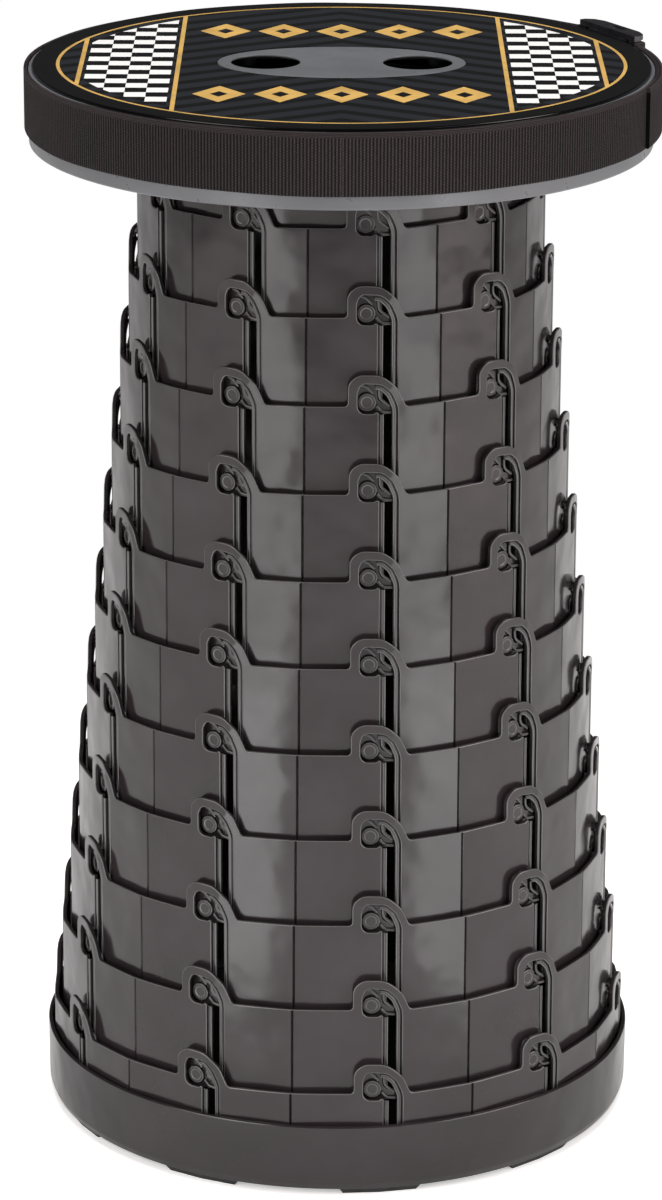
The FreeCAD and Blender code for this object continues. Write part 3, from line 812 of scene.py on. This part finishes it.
def printed_laminate(name, seat, gold, radius):
    """Printed sheet under a clear gloss film: black, charcoal chevrons, checks, gold lines."""
    patterns = (14.0, 3.0), (16.0, 5.0), (30.0, 1.0)
    finish = new_finish(name, 1.5, 0.16, linear("#0b0b0d"), *patterns)
    material, tree, shader, place, blots, smudge, waves = finish
    band, band_wide, band_end = 68.0, 4 * seat.check, radius - 16.0
    field_end, frame_line, frame_half = radius - 11.0, radius - 10.3, 0.7
    line_gap, line_half = 2.5, 0.9
    slant, stripe_pitch, stripe_wide = 0.6, 15.0, 8.5
    gem_row, gem_pitch, gem_wide, gem_long, gems_end, hollow = 62.0, 24.0, 10.5, 15.0, 60.0, 0.34
    x, y, _ = add(tree, "SeparateXYZ", (place,)).node.outputs
    side = add(tree, "Math", (x,), operation="ABSOLUTE")
    level = add(tree, "CombineXYZ", (x, y))
    reach = add(tree, "VectorMath", (level,), "Value", operation="LENGTH")
    field = add(tree, "Math", (reach, field_end), operation="LESS_THAN")
    # Charcoal chevrons point away from the middle line
    chevron = add(tree, "Math", (side, slant, y), operation="MULTIPLY_ADD")
    chevron = add(tree, "Math", (chevron, stripe_pitch), operation="FLOORED_MODULO")
    stripe = add(tree, "Math", (chevron, stripe_wide), operation="LESS_THAN")
    stripes = {0: stripe, 6: linear("#0a0a0c"), 7: linear("#1f2126")}
    tone = add(tree, "Mix", stripes, 2, data_type="RGBA")
    tone = add(tree, "Mix", {0: field, 6: linear("#070708"), 7: tone}, 2, data_type="RGBA")
    # Bands of checks run from front to back beside the grip
    cells = add(tree, "CombineXYZ", (side, y))
    cells = add(tree, "VectorMath", (cells, (band, 0.0, 0.0)), operation="SUBTRACT")
    inks = {"Color1": linear("#ececea"), "Color2": linear("#0a0a0b")}
    checks = add(tree, "TexChecker", {"Vector": cells, "Scale": 1 / seat.check, **inks})
    middle = (side, band + band_wide / 2, band_wide / 2)
    strip = add(tree, "Math", middle, operation="COMPARE")
    short = add(tree, "Math", (reach, band_end), operation="LESS_THAN")
    strip = add(tree, "Math", (strip, short), operation="MULTIPLY")
    tone = add(tree, "Mix", {0: strip, 6: tone, 7: checks}, 2, data_type="RGBA")
    # Gold lines edge the bands and the field
    edge = add(tree, "Math", (reach, frame_line, frame_half), operation="COMPARE")
    for across in (band - line_gap, band + band_wide + line_gap):
        line = add(tree, "Math", (side, across, line_half), operation="COMPARE")
        line = add(tree, "Math", (line, field), operation="MULTIPLY")
        edge = add(tree, "Math", (edge, line), operation="MAXIMUM")
    # Gold lozenges, hollow in the middle, lie in a row before the grip and one behind it
    along = add(tree, "Math", (x, gem_pitch / 2), operation="PINGPONG")
    row = add(tree, "Math", (y,), operation="ABSOLUTE")
    row = add(tree, "Math", (row, gem_row), operation="SUBTRACT")
    row = add(tree, "Math", (row,), operation="ABSOLUTE")
    row = add(tree, "Math", (row, gem_long), operation="DIVIDE")
    lozenge = add(tree, "Math", (along, 1 / gem_wide, row), operation="MULTIPLY_ADD")
    gilded = (lozenge, (1 + hollow) / 2, (1 - hollow) / 2)
    gem = add(tree, "Math", gilded, operation="COMPARE")
    near = add(tree, "Math", (side, gems_end), operation="LESS_THAN")
    gem = add(tree, "Math", (gem, near), operation="MULTIPLY")
    gilt = add(tree, "Math", (edge, gem), operation="MAXIMUM")
    blots = add(tree, "MapRange", (blots, *NOISE_SPAN, 0.0, 1.0))
    ink = add(tree, "Mix", {0: blots, 6: shade(gold, 0.717), 7: gold}, 2, data_type="RGBA")
    tone = add(tree, "Mix", {0: gilt, 6: tone, 7: ink}, 2, data_type="RGBA")
    gloss = add(tree, "MapRange", (smudge, *NOISE_SPAN, 0.12, 0.22))
    normal = add(tree, "Bump", {"Height": waves, "Distance": 0.05 * MM, "Strength": 1.0})
    feed(shader, {"Base Color": tone, "Roughness": gloss, "Normal": normal})
    return material


# Operators


class STOOL_OT_rings(bpy.types.Operator):
    """Builds the eleven hook rings"""

    bl_idname = "stool.rings"
    bl_label = "Hook rings"

    def execute(self, context):
        scene = context.scene
        material = moulded_polypropylene("ring_polypropylene", shade(scene.stool_colours.ring))
        for node in RINGS:
            shell = ring_object(node, scene.stool_rings, material)
            settle(shell, body_of(node), "ring_plastic", node)
        return {"FINISHED"}


class STOOL_OT_hub(bpy.types.Operator):
    """Builds the innermost tube with its flange, screws and pins"""

    bl_idname = "stool.hub"
    bl_label = "Hub and screws"

    def execute(self, context):
        sizes = context.scene.stool_rings
        low, high = (corner.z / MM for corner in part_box("hub_ring"))
        radius, flange = radius_of("hub_ring"), high - context.scene.stool_seat.boss
        wall, width, thick, foot_to_pin = sizes.wall, 17.0, 3.5, 6.4
        profile = [
            (radius, low, 0.4),
            (radius, high, 0.4),
            (radius - wall, high, 0.4),
            (radius - wall, flange, 0.8),
            (radius - width, flange, 0.6),
            (radius - width, flange - thick, 0.6),
            (radius - wall, flange - thick, 0.8),
            (radius - wall, low, 0.4),
        ]
        material = bpy.data.materials["ring_polypropylene"]
        settle(turned_object("hub_tube", profile, material), "seat", "ring_plastic", "hub_ring")
        pins = Sheet()
        add_pin(pins, sizes)
        row = low + foot_to_pin + sizes.pitch
        for bay in range(sizes.bays):
            angle = sizes.turn + bay * math.tau / sizes.bays
            points, normals = wrapped(pins, sizes, radius, angle)
            points += [0, 0, row * MM]
            pin = mesh_object(f"hub_pin_{bay + 1:02d}", points, pins.faces, material, normals)
            settle(set_painted_highlight(pin, pins.pale), "seat", "ring_plastic")
        dress("seat_screws", zinc_plated_steel("screw_zinc_steel"))
        return {"FINISHED"}


class STOOL_OT_base(bpy.types.Operator):
    """Builds the base tray and finishes its foot pads"""

    bl_idname = "stool.base"
    bl_label = "Base tray and pads"

    def execute(self, context):
        low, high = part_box("base_tray")
        radius, lip, foot = high.x / MM, high.z / MM, low.z / MM
        wall, floor, edge, middle = 1.8, 2.3, 1.6, 0.4
        profile = [
            (middle, foot, 0),
            (radius - edge, foot, 1.2),
            (radius - 0.25, foot + edge * 2, 3),
            (radius, lip, 0.8),
            (radius - wall, lip, 0.5),
            (radius - wall, foot + floor, 0.6),
            (middle, foot + floor, 0),
        ]
        colour = shade(context.scene.stool_colours.ring, 0.803)
        material = moulded_polypropylene("tray_polypropylene", colour)
        settle(turned_object("base_cup", profile, material), "base", "base_plastic", "base_tray")
        dress("foot_pads", thermoplastic_rubber("pad_rubber"), bevel=0.5)
        return {"FINISHED"}


class STOOL_OT_seat(bpy.types.Operator):
    """Builds the grey seat pan with its oval grip, and the printed cover"""

    bl_idname = "stool.seat"
    bl_label = "Seat pan and cover"

    def execute(self, context):
        seat, colours = context.scene.stool_seat, context.scene.stool_colours
        low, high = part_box("seat_pan")
        radius, foot, top = high.x / MM, low.z / MM, high.z / MM
        cover_low, cover_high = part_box("seat_cover")
        cover, sheet = cover_high.x / MM, (cover_high.z - cover_low.z) / MM
        brim, wall, thick, gap, overlap = top - 1.2, 2.2, 3.0, 0.3, 6.0
        floor, under = top - sheet, top - sheet - thick
        edge, length, width = cover + gap, seat.grip_length, seat.grip_width
        material = moulded_abs("pan_abs", shade(colours.pan))
        profile = [
            (edge - overlap, under, 0),
            (radius - wall, under, 1.2),
            (radius - wall, foot, 0.7),
            (radius, foot, 0.9),
            (radius, brim, 0.6),
            (edge, brim, 0.4),
            (edge, floor, 0),
            (edge - overlap, floor, 0),
        ]
        settle(turned_object("pan_skirt", profile, material), "seat", "pan_plastic", "seat_pan")
        # Under the grip's thin top layer the finger holes widen, so that they look deep and dark
        half, inset = sheet / 2, 0.4
        web_edge = circle(edge - overlap + 0.1, count=180)
        layers = (
            ("pan_grip", oval(length, width), 0, half, 0.3, top),
            ("pan_rise", oval(length - inset, width - inset), 3, half, 0.1, top - half),
            ("pan_web", web_edge, 14, thick, 0.1, floor),
        )
        for name, outline, wider, depth, bevel, level in layers:
            holes = [circle(seat.finger + wider, side * seat.finger_offset) for side in (1, -1)]
            layer = flat_object(name, plate(outline, holes, depth, bevel), level, material)
            settle(layer, "seat", "pan_plastic")
        self.bosses(material, under, seat.boss)
        hole = oval(length + 2 * gap, width + 2 * gap)
        disc = plate(circle(cover, count=240), [hole], sheet, 0.5)
        print_finish = printed_laminate("cover_print", seat, shade(colours.gold), cover)
        cover_disc = flat_object("cover_disc", disc, top, print_finish)
        settle(cover_disc, "seat", "cover_print", "seat_cover")
        return {"FINISHED"}

    def bosses(self, material, under, height, count=5):
        """The screw bosses under the plate, round where the frame's are faceted."""
        points = node_points("seat_screws")
        front = points[(np.abs(points[:, 0]) < 6) & (points[:, 1] < 0), 1]
        ring = -(front.min() + front.max()) / 2
        bore, foot, root = 1.85, under - height, under + 0.5
        profile = [(bore, foot, 0.2), (5, foot, 0.5), (5.2, root, 0), (bore, root, 0)]
        for number in range(count):
            angle = number * math.tau / count
            post = turned_object(f"pan_boss_{number + 1}", profile, material, count=32)
            post.location = (ring * math.sin(angle) * MM, -ring * math.cos(angle) * MM, 0)
            settle(post, "seat", "pan_plastic")


class STOOL_OT_strap(bpy.types.Operator):
    """Builds the webbing around the seat and its loops through the buckle"""

    bl_idname = "stool.strap"
    bl_label = "Strap"

    def execute(self, context):
        seat, colours = context.scene.stool_seat, context.scene.stool_colours
        low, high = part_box("strap")
        outer, foot, top, cloth = high.x / MM, low.z / MM, high.z / MM, seat.cloth
        thick, play, under_loop = 1.6, 0.1, math.radians(13)
        inner, ends = outer - thick, (seat.tail_end, seat.buckle_turn - under_loop)
        yarn = shade(colours.webbing)
        material = woven_webbing("strap_webbing", yarn, outer, seat.rib_pitch, top)
        band = strap_line(inner + cloth / 2, seat.buckle_turn, seat.buckle_half)
        tail = tail_line(inner + 1.5 * cloth + play, *ends)
        layers = (
            ("strap_band", band, foot, top, ["strap"], "pan_skirt"),
            ("strap_tail", tail, foot + 0.3, top - 0.2, [], "strap_band"),
        )
        for name, line, lower, upper, nodes, under in layers:
            piece = webbing_object(name, line, lower, upper, cloth, material)
            settle(piece, "seat", "webbing", *nodes)
        return {"FINISHED"}


def strap_line(radius, angle, half):
    """The webbing's middle line in plan, in mm: a bar's loop, round the seat, the other loop."""
    bar_in, bar_thick, bar_width, room = radius - 0.2, 2.6, 3.0, 1.1
    far, near = half + room, half - bar_width - room
    crown, foot = bar_in + bar_thick + room, bar_in - room
    first = math.asin((half + 9) / radius)
    start = (-radius * math.sin(first), radius * math.cos(first))
    eye = [(-near - 0.2, foot + 1.2), (-near, crown), (-far, crown), (-far, foot + 0.4), start]
    loop = [tuple(point) for point in rounded([(*corner, 0.9) for corner in eye], closed=False)]
    round_seat = np.linspace(first, math.tau - first, 200)[1:-1]
    line = loop + [(-radius * math.sin(a), radius * math.cos(a)) for a in round_seat]
    line += [(-x, r) for x, r in loop[::-1]]
    side, front = math.cos(angle), math.sin(angle)
    return [(x * side + r * front, x * front - r * side) for x, r in line]


def tail_line(radius, first, last):
    """The sewn-back end of the webbing, over the band from one angle to another."""
    return [(radius * math.sin(a), -radius * math.cos(a)) for a in np.linspace(first, last, 40)]


def webbing_object(name, line, low, high, thick, material):
    """A flat band on edge along a line in plan, its selvedges rounded and very slightly uneven."""
    line = np.array(line)
    steps = np.gradient(line, axis=0)
    sides = np.column_stack([steps[:, 1], -steps[:, 0]])
    sides /= np.linalg.norm(sides, axis=1)[:, None]
    half, curl = thick / 2, 0.7
    corners = [(-half, low, curl), (half, low, curl), (half, high, curl), (-half, high, curl)]
    profile = divided(rounded(corners), 4.0)
    travel = np.concatenate([[0], np.cumsum(np.linalg.norm(np.diff(line, axis=0), axis=1))])
    points, faces, count = [], [], len(profile)
    for place, side, along in zip(line, sides, travel):
        sway = 0.12 * math.sin(along / 23) + 0.08 * math.sin(along / 9.1)
        points += [(*(place + side * out) * MM, (height + sway) * MM) for out, height in profile]
    for start in range(0, (len(line) - 1) * count, count):
        for k in range(count):
            m = (k + 1) % count
            faces.append((start + k, start + m, start + count + m, start + count + k))
    faces.append(tuple(range(count))[::-1])
    faces.append(tuple(range(len(points) - count, len(points))))
    return mesh_object(name, points, faces, material)


class STOOL_OT_buckle(bpy.types.Operator):
    """Finishes the two halves of the buckle"""

    bl_idname = "stool.buckle"
    bl_label = "Buckle"

    def execute(self, context):
        material = moulded_acetal("buckle_acetal")
        for node in ("buckle_socket", "buckle_plug"):
            half = dress(node, material, bevel=1.6, segments=5)
            half.modifiers.new("even_normals", "WEIGHTED_NORMAL")
        return {"FINISHED"}


class STOOL_OT_stage(bpy.types.Operator):
    """Sets the floor, the light and the camera at the photograph's angle"""

    bl_idname = "stool.stage"
    bl_label = "Stage"

    def execute(self, context):
        scene, stage = context.scene, context.scene.stool_stage
        scene.view_settings.view_transform = "Standard"
        self.floor()
        self.world(scene)
        self.lamps(scene)
        data = bpy.data.cameras.new("stool_camera")
        data.sensor_width, data.lens = 36.0, stage.focal
        data.clip_start, data.clip_end = 0.05, 50.0
        camera = bpy.data.objects.new("stool_camera", data)
        scene.collection.objects.link(camera)
        place = Matrix.Translation((stage.across, -stage.distance, stage.height))
        lean = Matrix.Rotation(math.pi / 2 - stage.tilt, 4, "X")
        camera.matrix_world = place @ lean @ Matrix.Rotation(stage.roll, 4, "Z")
        scene.camera = camera
        return {"FINISHED"}

    def floor(self):
        """A pale floor that keeps the stool's shadow and turns white to the camera further out."""
        size, shadow_end, white_start, glow = 6, 0.22, 0.6, 0.4
        mesh = bpy.data.meshes.new("floor")
        corners = [(-size, -size, 0), (size, -size, 0), (size, size, 0), (-size, size, 0)]
        mesh.from_pydata(corners, [], [(0, 1, 2, 3)])
        material = bpy.data.materials.new("floor_paint")
        material.use_nodes = True
        tree = material.node_tree
        shader = tree.nodes["Principled BSDF"]
        feed(shader, {"Base Color": linear("#f6f6f6"), "Roughness": 0.9})
        seen = add(tree, "LightPath", output="Is Camera Ray")
        place = add(tree, "TexCoord", output="Object")
        away = add(tree, "VectorMath", (place,), "Value", operation="LENGTH")
        far = add(tree, "MapRange", (away, shadow_end, white_start))
        near_glow = add(tree, "Emission", (linear("#ffffff"), glow))
        lit = add(tree, "AddShader", (shader.outputs[0], near_glow))
        white = add(tree, "MixShader", (far, lit, add(tree, "Emission", (linear("#ffffff"), 1.0))))
        mix = add(tree, "MixShader", (seen, shader.outputs[0], white))
        feed(tree.nodes["Material Output"], (mix,))
        mesh.materials.append(material)
        item = bpy.data.objects.new("floor", mesh)
        bpy.context.scene.collection.objects.link(item)

    def world(self, scene):
        """White to the camera and through glass, soft as light, dim in gloss to keep blacks."""
        light, gloss = 0.3, 0.04
        world = scene.world or bpy.data.worlds.new("studio")
        scene.world = world
        world.use_nodes = True
        tree = world.node_tree
        path = add(tree, "LightPath").node.outputs
        sight = (path["Is Camera Ray"], path["Is Transmission Ray"])
        seen = add(tree, "Math", sight, operation="MAXIMUM")
        soft = (path["Is Glossy Ray"], gloss - light, light)
        soft = add(tree, "Math", soft, operation="MULTIPLY_ADD")
        strength = add(tree, "Math", (seen, 1 - light, soft), operation="MULTIPLY_ADD")
        feed(tree.nodes["Background"], {"Color": linear("#ffffff"), "Strength": strength})

    def lamps(self, scene):
        """Soft panels at both sides and overhead, and strips before the stool for its gloss."""
        white, warm = linear("#ffffff")[:3], linear("#fff4f0")[:3]
        aim = Vector((0, 0, 0.22))
        # Name, place and size in metres, power in watts, colour
        panels = (
            ("left_panel", (-1.3, -1.1, 1.0), (0.9, 1.4), 15.5, warm),
            ("right_panel", (1.4, -0.6, 0.8), (0.7, 1.4), 16.5, warm),
            ("top_panel", (0.0, 0.1, 1.9), (1.5, 1.2), 31, white),
            ("left_strip", (-0.38, -0.58, 0.26), (0.2, 0.5), 0.7, white),
            ("right_strip", (0.43, -0.55, 0.26), (0.2, 0.5), 0.7, white),
            ("left_low_strip", (-0.17, -0.26, 0.07), (0.09, 0.14), 0.1, white),
            ("right_low_strip", (0.2, -0.25, 0.07), (0.09, 0.14), 0.08, white),
        )
        for name, place, size, power, colour in panels:
            data = bpy.data.lights.new(name, "AREA")
            data.shape, data.size, data.size_y = "RECTANGLE", *size
            data.energy, data.color = power, colour
            lamp = bpy.data.objects.new(name, data)
            scene.collection.objects.link(lamp)
            facing = (aim - Vector(place)).to_track_quat("-Z", "Y")
            lamp.matrix_world = Matrix.Translation(place) @ facing.to_matrix().to_4x4()
            lamp.visible_camera = False
            lamp.visible_glossy = name != "top_panel"


class STOOL_PT_panel(bpy.types.Panel):
    """Lists the pieces of the stool"""

    bl_label = "Telescopic stool"
    bl_idname = "STOOL_PT_panel"
    bl_space_type = "VIEW_3D"
    bl_region_type = "UI"
    bl_category = "Stool"

    def draw(self, context):
        for operator in OPERATORS:
            self.layout.operator(operator.bl_idname)


OPERATORS = (
    STOOL_OT_rings,
    STOOL_OT_hub,
    STOOL_OT_base,
    STOOL_OT_seat,
    STOOL_OT_strap,
    STOOL_OT_buckle,
    STOOL_OT_stage,
)
GROUPS = {
    "stool_rings": StoolRings,
    "stool_seat": StoolSeat,
    "stool_colours": StoolColours,
    "stool_stage": StoolStage,
}
CLASSES = (*GROUPS.values(), *OPERATORS, STOOL_PT_panel)


def register():
    """Registers the classes and their settings on the scene."""
    for item in CLASSES:
        bpy.utils.register_class(item)
    for name, group in GROUPS.items():
        setattr(bpy.types.Scene, name, PointerProperty(type=group))


def unregister():
    """Takes the settings and the classes away again."""
    for name in GROUPS:
        delattr(bpy.types.Scene, name)
    for item in reversed(CLASSES):
        bpy.utils.unregister_class(item)


def main():
    """Builds every piece."""
    register()
    for step in ("rings", "hub", "base", "seat", "strap", "buckle", "stage"):
        getattr(bpy.ops.stool, step)()


if __name__ == "__main__":
    main()
